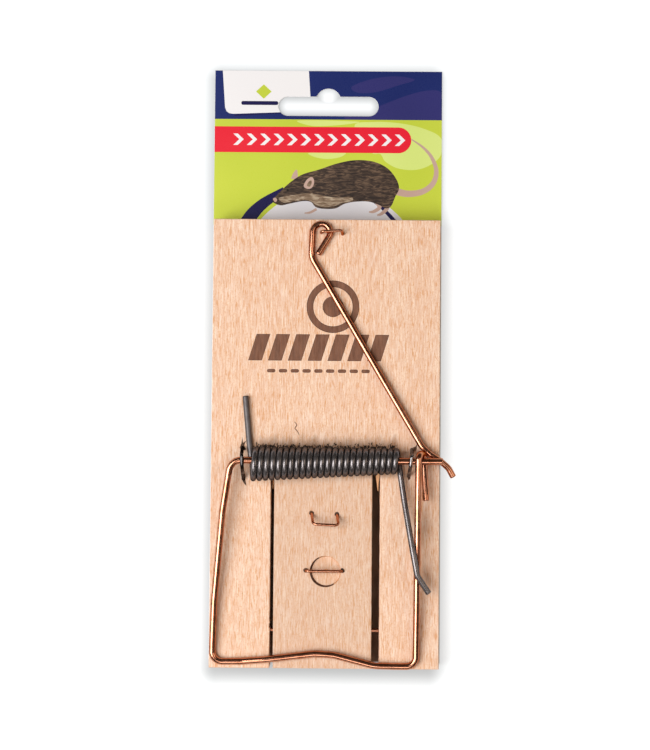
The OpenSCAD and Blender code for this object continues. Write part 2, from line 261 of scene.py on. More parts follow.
# dark char for the burnt marks, also used as painted shade on the recess wall
beechCharAndShade = beechMaterial("beechCharAndShade", scorch=((0.05, 0.018, 0.01), (0.10, 0.037, 0.019)))
tornWoodInShade = beechMaterial("beechTornInShade", scorch=((0.018, 0.009, 0.006), (0.12, 0.05, 0.022)))
beechDrilled = beechMaterial("beechDrilled", warm=0.12, darkerBy=0.2)
beechTreadle = beechMaterial("beechTreadle", darkerBy=0.26, withCoilShadowAndSpecks=True)
splinterWood = beechMaterial("beechSplinter", warm=0.75)
copperWire = wireMaterial("copperWire", [(0.45, 0.175, 0.095), (0.60, 0.265, 0.16), (0.66, 0.315, 0.20)],
                          (0.16, 0.22), 0.12, (0.42, 0.26, 0.18))
springSteel = wireMaterial("springSteel", [(0.13, 0.116, 0.117), (0.185, 0.168, 0.169), (0.24, 0.221, 0.222)],
                           (0.24, 0.31), 0.3, (0.12, 0.12, 0.125), metal=0.85, dullUntil=0.022)
# one staple steel in two copies: a near-black one for the left staple, as painted shade, and a brighter one for the
# right staple, as painted highlight
stapleSteelShaded = wireMaterial("stapleSteelShaded", [(0.03, 0.027, 0.027), (0.11, 0.10, 0.10), (0.25, 0.235, 0.235)],
                           (0.2, 0.32), 0.3, (0.15, 0.14, 0.14))
stapleSteelLit = wireMaterial("stapleSteelLit", [(0.12, 0.11, 0.11), (0.34, 0.32, 0.32), (0.55, 0.53, 0.53)],
                           (0.2, 0.32), 0.3, (0.2, 0.19, 0.19))
inks = {
    "green": printMaterial("inkGreen", (0.58, 0.66, 0.066), (0.50, 0.60, 0.05)),
    "paleGreen": printMaterial("inkPaleGreen", (0.70, 0.80, 0.25), (0.62, 0.74, 0.19)),
    "blue": printMaterial("inkBlue", (0.014, 0.027, 0.15), (0.009, 0.018, 0.115)),
    "softBlue": printMaterial("inkSoftBlue", (0.036, 0.034, 0.17), (0.028, 0.028, 0.14)),
    "navy": printMaterial("inkNavy", (0.012, 0.010, 0.085), (0.008, 0.006, 0.055)),
    "red": printMaterial("inkRed", (0.79, 0.020, 0.04), (0.75, 0.011, 0.032), clouds=(18, 60, 18)),
    "white": printMaterial("inkWhite", (0.865, 0.855, 0.865), (0.845, 0.83, 0.845)),
    "paper": printMaterial("inkPaper", (0.78, 0.77, 0.80), (0.62, 0.61, 0.65), clouds=(30, 60, 30)),
    "fur": furMaterial("inkFur", [(0.020, 0.011, 0.008), (0.062, 0.037, 0.024), (0.17, 0.105, 0.065)]),
    "belly": furMaterial("inkBelly", [(0.15, 0.095, 0.058), (0.32, 0.225, 0.145), (0.56, 0.455, 0.33)]),
    "eye": printMaterial("inkEye", (0.012, 0.008, 0.007), (0.006, 0.004, 0.004)),
    "margin": printMaterial("inkMargin", (0.66, 0.72, 0.76), (0.58, 0.65, 0.70)),
    "skin": printMaterial("inkSkin", (0.60, 0.43, 0.36), (0.46, 0.30, 0.245)),
    # dark brown, darker than the card's own grey board: painted shade for the slots
    "slotShadeBoard": printMaterial("slotShadeBoard", (0.25, 0.15, 0.09), (0.15, 0.086, 0.052), gloss=0.0,
                               clouds=(300, 90, 300)),
    "greyBoard": printMaterial("greyBoard", (0.40, 0.36, 0.31), (0.30, 0.265, 0.225), gloss=0.0, clouds=(300, 90, 300)),
}


def wireTree():
    tree = bpy.data.node_groups.new("wireAlongPath", "GeometryNodeTree")
    face = tree.interface
    face.new_socket("Path", in_out="INPUT", socket_type="NodeSocketGeometry")
    for name, kind, value in (("Diameter", "NodeSocketFloat", 0.002), ("Sides", "NodeSocketInt", 20),
                              ("Dent Depth", "NodeSocketFloat", 0.00002), ("Seed", "NodeSocketFloat", 1.0)):
        face.new_socket(name, in_out="INPUT", socket_type=kind).default_value = value
    face.new_socket("Finish", in_out="INPUT", socket_type="NodeSocketMaterial")
    face.new_socket("Wire", in_out="OUTPUT", socket_type="NodeSocketGeometry")
    given = tree.nodes.new("NodeGroupInput").outputs
    run = addNode(tree, "GeometryNodeSplineParameter")
    measured = addNode(tree, "GeometryNodeStoreNamedAttribute",
                       {"Geometry": given["Path"], "Name": "along", "Value": run.outputs["Length"]},
                       data_type="FLOAT", domain="POINT")
    half = addNode(tree, "ShaderNodeMath", {0: given["Diameter"], 1: 0.5}, operation="MULTIPLY")
    ring = addNode(tree, "GeometryNodeCurvePrimitiveCircle", {"Resolution": given["Sides"], "Radius": half.outputs[0]})
    spot = addNode(tree, "GeometryNodeInputPosition")
    section = addNode(tree, "GeometryNodeStoreNamedAttribute", {"Geometry": ring.outputs["Curve"], "Name": "around"},
                      data_type="FLOAT_VECTOR", domain="POINT")
    tree.links.new(spot.outputs[0], next(i for i in section.inputs if i.name == "Value" and i.enabled))
    radius = addNode(tree, "GeometryNodeInputRadius")
    sweepInputs = {"Curve": measured.outputs[0], "Profile Curve": section.outputs[0], "Fill Caps": True}
    sweep = addNode(tree, "GeometryNodeCurveToMesh", sweepInputs)
    if "Scale" in sweep.inputs:
        tree.links.new(radius.outputs[0], sweep.inputs["Scale"])
    noise = addNode(tree, "ShaderNodeTexNoise", {"W": given["Seed"], "Scale": 260.0, "Detail": 2.0},
                    noise_dimensions="4D")
    centred = addNode(tree, "ShaderNodeMath", {0: noise.outputs["Fac"], 1: 0.5}, operation="SUBTRACT")
    depth = addNode(tree, "ShaderNodeMath", {0: centred.outputs[0], 1: given["Dent Depth"]}, operation="MULTIPLY")
    normal = addNode(tree, "GeometryNodeInputNormal")
    shift = addNode(tree, "ShaderNodeVectorMath", {0: normal.outputs[0], "Scale": depth.outputs[0]}, operation="SCALE")
    dented = addNode(tree, "GeometryNodeSetPosition", {"Geometry": sweep.outputs[0], "Offset": shift.outputs[0]})
    smooth = addNode(tree, "GeometryNodeSetShadeSmooth", {"Geometry": dented.outputs[0]})
    real = addNode(tree, "GeometryNodeRealizeInstances", {"Geometry": smooth.outputs[0]})
    finish = addNode(tree, "GeometryNodeSetMaterial", {"Geometry": real.outputs[0], "Material": given["Finish"]})
    out = tree.nodes.new("NodeGroupOutput")
    tree.links.new(finish.outputs[0], out.inputs["Wire"])
    return tree


sweepTree = wireTree()


def plainCopy(source, name):
    # the evaluated object's mesh as a plain mesh object, and the source is removed
    depsgraph = bpy.context.evaluated_depsgraph_get()
    mesh = bpy.data.meshes.new_from_object(source.evaluated_get(depsgraph), depsgraph=depsgraph)
    mesh.name = name
    piece = bpy.data.objects.new(name, mesh)
    bpy.context.scene.collection.objects.link(piece)
    bpy.data.objects.remove(source)
    return piece


def wire(name, paths, diameter, finish, sides=20, dents=0.006, chamfer=0.18, seed=1.0):
    # one mesh of one or more wires; each path is a list of points in millimetres
    data = bpy.data.curves.new(name + "Path", "CURVE")
    data.dimensions = "3D"
    for path in paths:
        points = [Vector(p) for p in path]
        into, away = (points[1] - points[0]).normalized(), (points[-2] - points[-1]).normalized()
        points = [points[0], points[0] + into * chamfer, points[0] + into * 2.5 * chamfer, *points[1:-1],
                  points[-1] + away * 2.5 * chamfer, points[-1] + away * chamfer, points[-1]]
        spline = data.splines.new("POLY")
        spline.points.add(len(points) - 1)
        for k, (item, point) in enumerate(zip(spline.points, points)):
            item.co = (*(point * mm), 1.0)
            item.radius = 0.82 if k in (0, len(points) - 1) else 1.0
    holder = bpy.data.objects.new(name + "Path", data)
    bpy.context.scene.collection.objects.link(holder)
    modifier = holder.modifiers.new("sweep", "NODES")
    modifier.node_group = sweepTree
    sockets = {item.name: item.identifier for item in sweepTree.interface.items_tree if item.in_out == "INPUT"}
    for key, value in (("Diameter", diameter * mm), ("Sides", sides), ("Dent Depth", dents * mm), ("Seed", seed),
                       ("Finish", finish)):
        modifier[sockets[key]] = value
    return plainCopy(holder, name)


def bentPath(corners, radii, fine=9.0):
    # points along a wire through the corners, bent at each inner corner to its radius
    points = [Vector(corners[0])]
    for before, here, after, radius in zip(corners, corners[1:], corners[2:], radii):
        before, here, after = Vector(before), Vector(here), Vector(after)
        into, away = (here - before).normalized(), (after - here).normalized()
        turned = into.angle(away, 0.0)
        if turned < math.radians(0.5):
            points.append(here)
            continue
        back = radius * math.tan(turned / 2)
        normal = into.cross(away).normalized()
        outward = into.cross(normal)
        centre = here - into * back - outward * radius
        count = max(2, math.ceil(math.degrees(turned) / fine))
        for k in range(count + 1):
            a = turned * k / count
            points.append(centre + radius * (math.cos(a) * outward + math.sin(a) * into))
    points.append(Vector(corners[-1]))
    return points


def grown(points, by):
    # the closed loop moved outwards by that much, with mitred corners
    points = [Vector(p).to_2d() for p in points]
    count = len(points)
    area = sum(a.cross(b) for a, b in zip(points, points[1:] + points[:1]))
    sign = 1 if area > 0 else -1
    result = []
    for k in range(count):
        into = (points[k] - points[k - 1]).normalized()
        away = (points[(k + 1) % count] - points[k]).normalized()
        first, second = Vector((into.y, -into.x)) * sign, Vector((away.y, -away.x)) * sign
        middle = first + second
        if middle.length < 0.2:
            middle = first
        middle = middle.normalized()
        result.append(points[k] + middle * by / max(0.35, middle.dot(first)))
    return result


def holds(points, at):
    inside = False
    for a, b in zip(points, points[1:] + points[:1]):
        if (a[1] > at[1]) != (b[1] > at[1]) and at[0] < a[0] + (at[1] - a[1]) / (b[1] - a[1]) * (b[0] - a[0]):
            inside = not inside
    return inside


def slab(name, outline, holes, low, high, bevel, base, edgeFinish, regions=(), underside=None):
    # a flat piece with bevelled edges; each region on its upper face is a loop and a material
    finishes = [base]
    for material in [m for _, m in regions] + [m for m in (edgeFinish if isinstance(edgeFinish, tuple) else ())]:
        if material not in finishes:
            finishes.append(material)
    if underside and underside not in finishes:
        finishes.append(underside)
    mesh = bpy.data.meshes.new(name)
    body = bmesh.new()
    rings = []
    for loop, side in [(outline, -1)] + [(hole, 1) for hole in holes]:
        outer = [Vector(p).to_2d() for p in loop]
        inner = grown(outer, side * bevel)
        levels = []
        for ring, z in ((inner, high), (outer, high - bevel), (outer, low + bevel), (inner, low)):
            levels.append([body.verts.new((p.x * mm, p.y * mm, z * mm)) for p in ring])
        rings.append((inner, levels, side))
        for upper, lower in zip(levels, levels[1:]):
            for k in range(len(loop)):
                n = (k + 1) % len(loop)
                face = body.faces.new((upper[k], lower[k], lower[n], upper[n]))
                face.material_index = 0
                if isinstance(edgeFinish, tuple):
                    way = (outer[n] - outer[k]).normalized()
                    face.material_index = finishes.index(edgeFinish[1] if side == 1 or abs(way.x) < 0.7
                                                         else edgeFinish[0])
    for z, level, cuts in ((high, 0, regions), (low, 3, ())):
        points, edges, kept = [], [], {}
        loops = [(inner, levels[level]) for inner, levels, _ in rings] + [(r, None) for r, _ in cuts]
        for ring, verts in loops:
            first = len(points)
            points += [Vector(p).to_2d() for p in ring]
            edges += [(first + k, first + (k + 1) % len(ring)) for k in range(len(ring))]
            for k, vert in enumerate(verts or ()):
                kept[first + k] = vert
        found, _, faces, originals, _, _ = delaunay_2d_cdt(points, edges, [], 0, 1e-5)
        made = []
        for k, at in enumerate(found):
            source = next((kept[o] for o in originals[k] if o in kept), None)
            made.append(source or body.verts.new((at.x * mm, at.y * mm, z * mm)))
        for face in faces:
            middle = sum((found[k] for k in face), Vector((0, 0))) / len(face)
            if not holds(rings[0][0], middle) or any(holds(inner, middle) for inner, _, _ in rings[1:]):
                continue
            corners = [made[k] for k in (face if z == high else reversed(face))]
            if len(set(corners)) < 3 or body.faces.get(corners):
                continue
            new = body.faces.new(corners)
            new.material_index = 0 if z == high or not underside else finishes.index(underside)
            for ring, material in cuts:
                if holds(ring, middle):
                    new.material_index = finishes.index(material)
    bmesh.ops.remove_doubles(body, verts=body.verts, dist=1e-7)
    bmesh.ops.recalc_face_normals(body, faces=body.faces)
    body.to_mesh(mesh)
    body.free()
    for material in finishes:
        mesh.materials.append(material)
    piece = bpy.data.objects.new(name, mesh)
    bpy.context.scene.collection.objects.link(piece)
    return piece


def circle(x, y, r, count=32, start=0.0, end=360.0):
    full = abs(end - start) >= 360
    steps = count if full else count + 1
    return [(x + r * math.cos(math.radians(start + (end - start) * k / count)),
             y + r * math.sin(math.radians(start + (end - start) * k / count))) for k in range(steps)]


def bentBetween(a, b, c, d, t):
    # a place from b to c on a Catmull-Rom curve
    return 0.5 * (2 * b + (c - a) * t + (2 * a - 5 * b + 4 * c - d) * t * t + (3 * b - a - 3 * c + d) * t ** 3)


def smoothLoop(points, steps=6):
    # a closed smooth curve through the points
    points = [Vector(p) for p in points]
    count, result = len(points), []
    for k in range(count):
        near = [points[(k + j) % count] for j in (-1, 0, 1, 2)]
        result += [bentBetween(*near, s / steps) for s in range(steps)]
    return result


def ribbon(points, widths, steps=8):
    # a tapering strip along an open smooth line
    points = [Vector(p) for p in points]
    ends = [2 * points[0] - points[1], *points, 2 * points[-1] - points[-2]]
    line, size = [], []
    for k in range(1, len(ends) - 2):
        for t in (s / steps for s in range(steps)):
            line.append(bentBetween(*ends[k - 1:k + 3], t))
            size.append(widths[k - 1] + (widths[k] - widths[k - 1]) * t)
    line.append(points[-1])
    size.append(widths[-1])
    left, right = [], []
    for k, at in enumerate(line):
        way = (line[min(k + 1, len(line) - 1)] - line[max(k - 1, 0)]).normalized()
        side = Vector((-way.y, way.x)) * size[k] / 2
        left.append(at + side)
        right.append(at - side)
    return left + right[::-1]


def roundBox(x0, y0, x1, y1, r):
    result = []
    for cx, cy, a in ((x1 - r, y1 - r, 0), (x0 + r, y1 - r, 90), (x0 + r, y0 + r, 180), (x1 - r, y0 + r, 270)):
        result += circle(cx, cy, r, 6, a, a + 90)
    return result


def clipped(points, low):
    # the part of a loop above a line across the sheet
    return [(p[0], max(p[1], low)) for p in points]


card = {
    "bandLow": 123.7, "stripeLow": 110.9, "stripeHigh": 120.85,
    "stripeEnd": 31.8, "slotWidth": 38.3, "slotHeight": 7.4, "slotAt": cardHigh.y - 13.7, "bump": 4.8,
    "slotShadeWidth": 42.6, "slant": 1.0, "arrows": 13,
}
left, right, headTop = cardLow.x, cardHigh.x, cardHigh.y
slotRadius = card["slotHeight"] / 2
slotHalf = card["slotWidth"] / 2 - slotRadius
bumpAt = card["slotAt"] + slotRadius - card["bump"] + 3.1
meet = math.degrees(math.acos((card["slotAt"] + slotRadius - bumpAt) / card["bump"]))
hangSlot = (circle(-slotHalf, card["slotAt"], slotRadius, 20, 90, 270)
            + circle(slotHalf, card["slotAt"], slotRadius, 20, -90, 90)
            + circle(0, bumpAt, card["bump"], 18, 90 - meet, 90 + meet))
outer = 0.02  # print runs this far past the edge, so that no bare rim is left
slotShadeWidth = card["slotShadeWidth"]
frontArt = [
    ([(left - outer, cardLow.y - 1.2), (right + outer, cardLow.y - 1.2), (right + outer, boardHigh.y - 0.6),
      (left - outer, boardHigh.y - 0.6)], inks["margin"]),
    # the card under the wood, seen down the treadle's slots, printed dark brown as painted shade
    ([(-slotShadeWidth, cardLow.y - 1.2), (slotShadeWidth, cardLow.y - 1.2), (slotShadeWidth, boardHigh.y - 0.4),
      (-slotShadeWidth, boardHigh.y - 0.4)], inks["slotShadeBoard"]),
    ([(left - outer, card["bandLow"]), (right + outer, card["bandLow"]), (right + outer, headTop + outer),
      (left - outer, headTop + outer)], inks["blue"]),
    # a long soft wave in the blue band, and its pale partner in the green field
    (clipped(smoothLoop([(6, 124.4), (18, 128.5), (30, 133.2), (38, 135.2), (42.9, 134.6), (42.9, 130), (42.9, 123),
                         (36, 122), (20, 122)]), card["bandLow"]), inks["softBlue"]),
    (clipped(smoothLoop([(9, 136.6), (17, 139.6), (26, 140.6), (33, 139.3), (27, 137.2), (18, 134.4), (11, 134.2)]),
             card["bandLow"]), inks["softBlue"]),
    ([(-40.6, headTop + outer), (-7.6, headTop + outer), (-6.55, 126.9), (-20, 126.35), (-36.4, 125.7),
      (-37.9, 125.9), (-39.0, 126.7), (-39.6, 128.2)], inks["white"]),
    # a plain lozenge over a bar, where a maker would print a mark
    ([(-24.8, 137.2), (-21.8, 134.4), (-24.8, 131.6), (-27.8, 134.4)], inks["green"]),
    (roundBox(-33.4, 129.2, -19.2, 130.7, 0.7), inks["navy"]),
    # the shadow line under the white patch
    ([(-36.0, 125.45), (-20, 126.1), (-16.5, 126.2), (-20, 125.8), (-36.0, 124.9)], inks["navy"]),
    (smoothLoop([(10, 121.3), (17, 122.9), (27, 122.5), (36, 120.6), (43, 117), (43.4, 111), (40, 107), (34, 104.6),
                 (27, 105), (22, 107.6), (20, 110.5), (16, 111.5)]), inks["paleGreen"]),
    (smoothLoop([(-12, 123.1), (-4, 123.4), (6, 123.2), (12, 122.8), (4, 121.6), (-6, 121.2)]), inks["paleGreen"]),
    (smoothLoop([(-7, 110.9), (6, 111.2), (5, 109.4), (0, 108.5), (-5, 109.2)]), inks["paleGreen"]),
    # the red stripe and a row of plain arrowheads along it
    ([(left - outer, card["stripeLow"]), *circle(card["stripeEnd"] - 4.97, 115.87, 4.97, 18, -90, 90),
      (left - outer, card["stripeHigh"])], inks["red"]),
]
arrow = ((0, 118.1), (1.7, 118.1), (4.0, 115.9), (1.7, 113.7), (0, 113.7), (2.3, 115.9))
for k in range(card["arrows"]):
    x = -36.3 + k * 5.15
    frontArt.append(([(x + dx, y) for dx, y in arrow], inks["white"]))
frontArt += [
    (circle(1.6, 62.0, 35.6, 48, 20, 160), inks["paper"]),
    (ribbon([(-31.8, 82.0), (-28.6, 87.2), (-24.0, 91.6), (-16.5, 96.4)], [5.6, 4.9, 4.0, 2.6]), inks["navy"]),
    (ribbon([(17.4, 92.4), (21.0, 89.6), (25.4, 84.9), (27.5, 81.5)], [0.9, 1.2, 1.6, 1.8]), inks["navy"]),
]
rat = smoothLoop([(-20.9, 92.6), (-20.2, 91.3), (-17.8, 90.5), (-14.5, 91.2), (-9.5, 92.2), (-6.4, 91.9), (-4.6, 90.0),
                  (-1.5, 89.3), (3.0, 89.5), (6.5, 91.3), (10.5, 92.1), (15.5, 92.2), (19.5, 91.0), (22.3, 89.6),
                  (24.3, 90.6), (25.8, 94.2), (27.2, 97.2), (26.2, 100.9), (22.6, 105.2), (17.0, 107.7), (10.0, 108.1),
                  (3.2, 106.7), (-3.4, 104.4), (-9.4, 102.6), (-13.6, 100.0), (-17.6, 96.4)], 5)
flank = smoothLoop([(-18.6, 93.4), (-13.0, 94.6), (-7.4, 95.3), (-3.0, 94.6), (3.4, 93.6), (9.0, 93.9), (9.4, 92.5),
                    (5.4, 91.6), (2.4, 90.3), (-2.0, 90.0), (-4.6, 91.0), (-7.4, 92.6), (-12.4, 92.3),
                    (-16.8, 91.6)], 4)
frontArt += [
    (ribbon([(25.5, 96.4), (30.5, 95.3), (36.2, 96.2), (40.2, 99.4), (41.4, 104.2), (39.6, 109.4), (36.3, 113.2),
             (31.9, 116.3)], [2.8, 2.5, 2.2, 2.0, 1.7, 1.3, 0.9, 0.4]), inks["skin"]),
    (ribbon([(18.8, 92.4), (19.8, 90.0), (17.6, 88.4), (15.8, 88.2)], [2.2, 1.5, 1.2, 0.5], 5), inks["skin"]),
    (ribbon([(22.4, 92.0), (22.8, 89.8), (20.6, 87.6), (18.9, 87.0)], [2.0, 1.5, 1.2, 0.5], 5), inks["skin"]),
    (ribbon([(-4.2, 89.2), (-6.6, 87.9), (-8.8, 87.6)], [1.0, 0.9, 0.4], 5), inks["skin"]),
    (ribbon([(-12.8, 100.6), (-12.4, 102.6), (-12.0, 104.2)], [2.6, 1.9, 0.6], 5), inks["skin"]),
    (rat, inks["fur"]),
    (flank, inks["belly"]),
    (smoothLoop([(-9.2, 98.0), (-8.0, 100.5), (-6.1, 101.5), (-5.2, 99.8), (-5.9, 97.6), (-7.6, 96.9)], 5),
     inks["skin"]),
    (smoothLoop([(-8.0, 98.3), (-7.2, 99.8), (-6.3, 100.3), (-6.2, 99.0), (-6.9, 97.8)], 4), inks["belly"]),
    (circle(-15.3, 96.4, 0.45, 12), inks["eye"]),
    (smoothLoop([(-20.9, 92.9), (-20.0, 93.5), (-19.3, 92.6), (-20.0, 91.7)], 4), inks["skin"]),
]
cardOutline = [(left, cardLow.y), (right, cardLow.y - card["slant"]), (right, headTop), (left, headTop)]
headerCard = slab("headerCard", cardOutline, [hangSlot], cardLow.z, cardHigh.z, 0.06, inks["green"],
                  (inks["white"], inks["white"]), frontArt, underside=inks["greyBoard"])
print("card done")


board = {
    "gapLeft": treadleLow.x - 1.3, "gapRight": treadleHigh.x + 2.9, "slotEnd": treadleHigh.y + 1.2,
    "bevel": 0.22, "markX": -2.8, "ringY": 50.7, "ring": 8.6, "disc": 3.9, "stroke": 2.5, "blocksY": 36.0, "blocks": 7,
    "dashY": 26.6, "dashes": 9,
}


def ragged(a, b, size, step, dice):
    # a saw's edge between two corners: points a little off the line
    a, b = Vector(a), Vector(b)
    side = Vector((-(b - a).y, (b - a).x)).normalized()
    count = max(1, round((b - a).length / step))
    return [a.lerp(b, k / count) + side * (dice.uniform(-size, size) if k else 0) for k in range(count)]


dice = random.Random(4)
x0, x1, slotEnd = board["gapLeft"], board["gapRight"], board["slotEnd"]
sides = [(boardLow.x, boardLow.y), (x0, boardLow.y), (x0, -70.4), (x0, -64.6), (x0, slotEnd), (x1, slotEnd),
         (x1, boardLow.y), (boardHigh.x, boardLow.y), (boardHigh.x, boardHigh.y), (boardLow.x, boardHigh.y)]
boardOutline = []
for k, (a, b) in enumerate(zip(sides, sides[1:] + sides[:1])):
    rough = {0: 0.03, 1: 0.05, 2: 0.17, 3: 0.05, 5: 0.05, 6: 0.03}.get(k, 0.02)
    step = {1: 1.6, 2: 0.45, 3: 1.6, 4: 3.0, 5: 2.2}.get(k, 4.0)
    boardOutline += ragged(a, b, rough, step, dice)


# burnt marks: a ring round a disc, a row of slanted blocks and a row of dashes, each darkest at its rim: partly the
# brand's char, partly painted shade of the burned-in edge
markX, ringX = board["markX"], board["markX"] + 5.2
ring = circle(ringX, board["ringY"], board["ring"], 48)
solids = [circle(ringX, board["ringY"], board["disc"], 28)]
for k in range(board["blocks"]):
    x, low, high = markX + (k - 3) * 7.4, board["blocksY"] - 5.6, board["blocksY"] + 4.3
    solids.append([(x - 4.1, low), (x + 1.0, low), (x + 4.1, high), (x - 1.0, high)])
for k in range(board["dashes"]):
    x = markX - 19.2 + k * 4.4
    solids.append(roundBox(x, board["dashY"] - 0.65, x + 3.1, board["dashY"] + 0.65, 0.6))
half, rim = board["stroke"] / 2, 0.25
marks = [(grown(ring, half), beechCharAndShade), (grown(ring, half - rim), beechScorched),
         (grown(ring, rim - half), beechCharAndShade), (grown(ring, -half), beech)]
for loop in solids:
    marks += [(loop, beechCharAndShade), (grown(loop, -0.2), beechScorched)]
# wood torn up round the shaft staples' feet, drawn near black as painted shade in its cracks, a dark knot line above
# the coil, and a short dark fleck just above the coil
marks += [
    ([(-31.9, -2.2), (-31.3, -0.6), (-30.9, 1.9), (-30.7, -0.4), (-29.4, 0.5), (-30.2, -1.3), (-29.6, -2.9),
      (-31.2, -3.6)], tornWoodInShade),
    ([(-30.9, -13.6), (-29.7, -13.8), (-29.4, -15.2), (-29.3, -16.4), (-30.0, -15.6), (-30.6, -14.8)], tornWoodInShade),
    ([(32.6, -1.6), (33.6, -1.2), (34.3, 0.3), (34.0, -1.9), (33.4, -3.2)], tornWoodInShade),
    ([(30.5, -12.4), (31.6, -12.3), (31.7, -13.2), (31.0, -13.9), (30.7, -13.2)], tornWoodInShade),
    (ribbon([(-11.6, 7.6), (-10.7, 6.4), (-11.4, 5.2), (-10.4, 4.0), (-9.8, 2.6)], [0.2, 0.35, 0.3, 0.35, 0.2], 4),
     beechScorched),
    (ribbon([(19.2, -0.9), (20.3, -1.5), (21.5, -1.2)], [0.3, 0.8, 0.3], 4), tornWoodInShade),
]
baseBoard = slab("baseBoard", boardOutline, [], cardHigh.z + 0.02, boardTop, board["bevel"], beech, (beechEnd, beech),
                 marks)
# splinters that the saw left standing at the slot's inner corners, torn off a little below the surface
splinterLoops = [[(x1 - 1.72, slotEnd + 0.3), (x1 - 0.03, slotEnd + 0.3), (x1 - 0.12, slotEnd - 2.2),
                  (x1 - 0.5, slotEnd - 5), (x1 - 0.64, slotEnd - 8.2), (x1 - 0.86, slotEnd - 8.0),
                  (x1 - 1.2, slotEnd - 5.2), (x1 - 1.5, slotEnd - 3.4)],
                 [(x0 + 0.48, slotEnd + 0.3), (x0 + 1.05, slotEnd + 0.3), (x0 + 1.0, slotEnd - 3.5),
                  (x0 + 0.84, slotEnd - 7.6), (x0 + 0.7, slotEnd - 7.4), (x0 + 0.62, slotEnd - 4)]]
splinters = [slab(f"splinter{k + 1}", loop, [], boardTop - 7.5, boardTop - 0.7 - 0.5 * k, 0.08, splinterWood,
                  splinterWood) for k, loop in enumerate(splinterLoops)]
print("board done")

recess = {"x": (treadleLow.x + treadleHigh.x) / 2 + 1.0, "y": -47.8, "radius": 5.8, "depth": 1.2, "tip": 0.5,
          "aside": Vector((0.30, 0.17, 0))}
treadleCorners = [(treadleLow.x, treadleLow.y), (treadleHigh.x, treadleLow.y), (treadleHigh.x, treadleHigh.y),
                  (treadleLow.x, treadleHigh.y)]
treadleOutline = []
for k, (a, b) in enumerate(zip(treadleCorners, treadleCorners[1:] + treadleCorners[:1])):
    treadleOutline += ragged(a, b, 0.03, 3.0, dice)
recessLoop = circle(recess["x"], recess["y"], recess["radius"], 56)

# wood torn up where the thin staples' feet go in, drawn near black as painted shade in its cracks
footShape = ((0, 0.95), (60, 0.9), (110, 1.05), (170, 0.95), (230, 0.9), (300, 0.8))
feet = []
for x, y, turn in ((-4.9, -26.3, 20), (4.5, -26.7, -30), (recess["x"] - 7.2, -47.4, 60),
                   (recess["x"] + 6.3, -47.5, -10)):
    rays = [(r, math.radians(a + turn)) for a, r in footShape]
    feet.append((smoothLoop([(x + r * math.cos(a), y + r * math.sin(a)) for r, a in rays], 3), tornWoodInShade))


def treadlePlate():
    # the slab's upper face is cut at the recess, whose wall, floor and drill point are turned below it
    piece = slab("treadlePlate", treadleOutline, [], treadleLow.z, treadleHigh.z, 0.2, beechTreadle,
                 (beechEnd, beechTreadle), feet + [(recessLoop, beechDrilled)])
    for material in (beechCharAndShade, splinterWood):
        if material not in list(piece.data.materials):
            piece.data.materials.append(material)
    slot = {material.name: k for k, material in enumerate(piece.data.materials)}
    body = bmesh.new()
    body.from_mesh(piece.data)
    top = treadleHigh.z * mm
    inside = [f for f in body.faces if f.material_index == piece.data.materials.find("beechDrilled")]
    bmesh.ops.delete(body, geom=inside, context="FACES")
    rim = [e for e in body.edges if e.is_boundary]
    centre = Vector((recess["x"] * mm, recess["y"] * mm, 0))
    deep = recess["depth"]
    edges = rim
    for size, drop in ((0.99, -0.12), (0.93, 0.2 - deep), (0.92, -deep), (0.75, -deep - 0.02), (0.5, -deep - 0.02),
                       (0.14, -deep - 0.02), (0.04, -deep - recess["tip"])):
        aside = recess["aside"] * mm * (1 if size < 0.95 else 0)
        result = bmesh.ops.extrude_edge_only(body, edges=edges)
        edges = [g for g in result["geom"] if isinstance(g, bmesh.types.BMEdge)]
        for v in (g for g in result["geom"] if isinstance(g, bmesh.types.BMVert)):
            flat = Vector((v.co.x, v.co.y, 0)) - centre
            v.co = centre + aside + flat.normalized() * recess["radius"] * size * mm
            v.co.z = top + drop * mm
    bmesh.ops.contextual_create(body, geom=edges)
    body.normal_update()
    for face in body.faces:
        at = face.calc_center_median() - centre
        reach = at.to_2d().length / (recess["radius"] * mm)
        steep = abs(face.normal.z) < 0.9
        if reach < 1.001 and top - 2.5 * mm < at.z < top - 0.01 * mm:
            # the recess wall on its lower-left side, turned away from the left lamp, gets the dark char finish as
            # painted shade; the rest gets the brown splinter finish
            shaded = at.x * 0.85 + at.y * 0.5 < 0.1 * recess["radius"] * mm
            face.material_index = slot["beechDrilled"]
            if steep:
                face.material_index = slot["beechCharAndShade" if shaded and reach > 0.5 else "beechSplinter"]
    bmesh.ops.recalc_face_normals(body, faces=body.faces)
    body.to_mesh(piece.data)
    body.free()
    return piece


treadlePiece = treadlePlate()
print("treadle done")


bow = {"wire": 2.5, "reach": 75.0, "rise": 0.6, "leftAtShaft": -34.8, "leftAtBar": -41.2, "rightLeg": 34.3,
       "shaftEnd": 43.4, "bends": [4.6, 40, 60, 40, 3.6, 12, 12, 12, 12, 12, 8, 3.6, 0.3, 2.2, 2.2, 0.3]}
shaftY, shaftZ = shaftAt.y, shaftAt.z
bowWire = bow["wire"]
barY, barZ = shaftY - bow["reach"], boardTop + bowWire / 2 + 0.06
barUp = barZ + bow["rise"]
hook = bowWire + 0.15
legX, tailX = bow["rightLeg"], bow["rightLeg"] + bowWire - 0.1


def leftLeg(t, bulge):
    # a place on the left leg, from the shaft at 0 to the bar at 1
    return (bow["leftAtShaft"] + (bow["leftAtBar"] - bow["leftAtShaft"]) * t - bulge,
            shaftY + (barY + 0.7 - shaftY) * t, shaftZ + (barZ - shaftZ) * t)


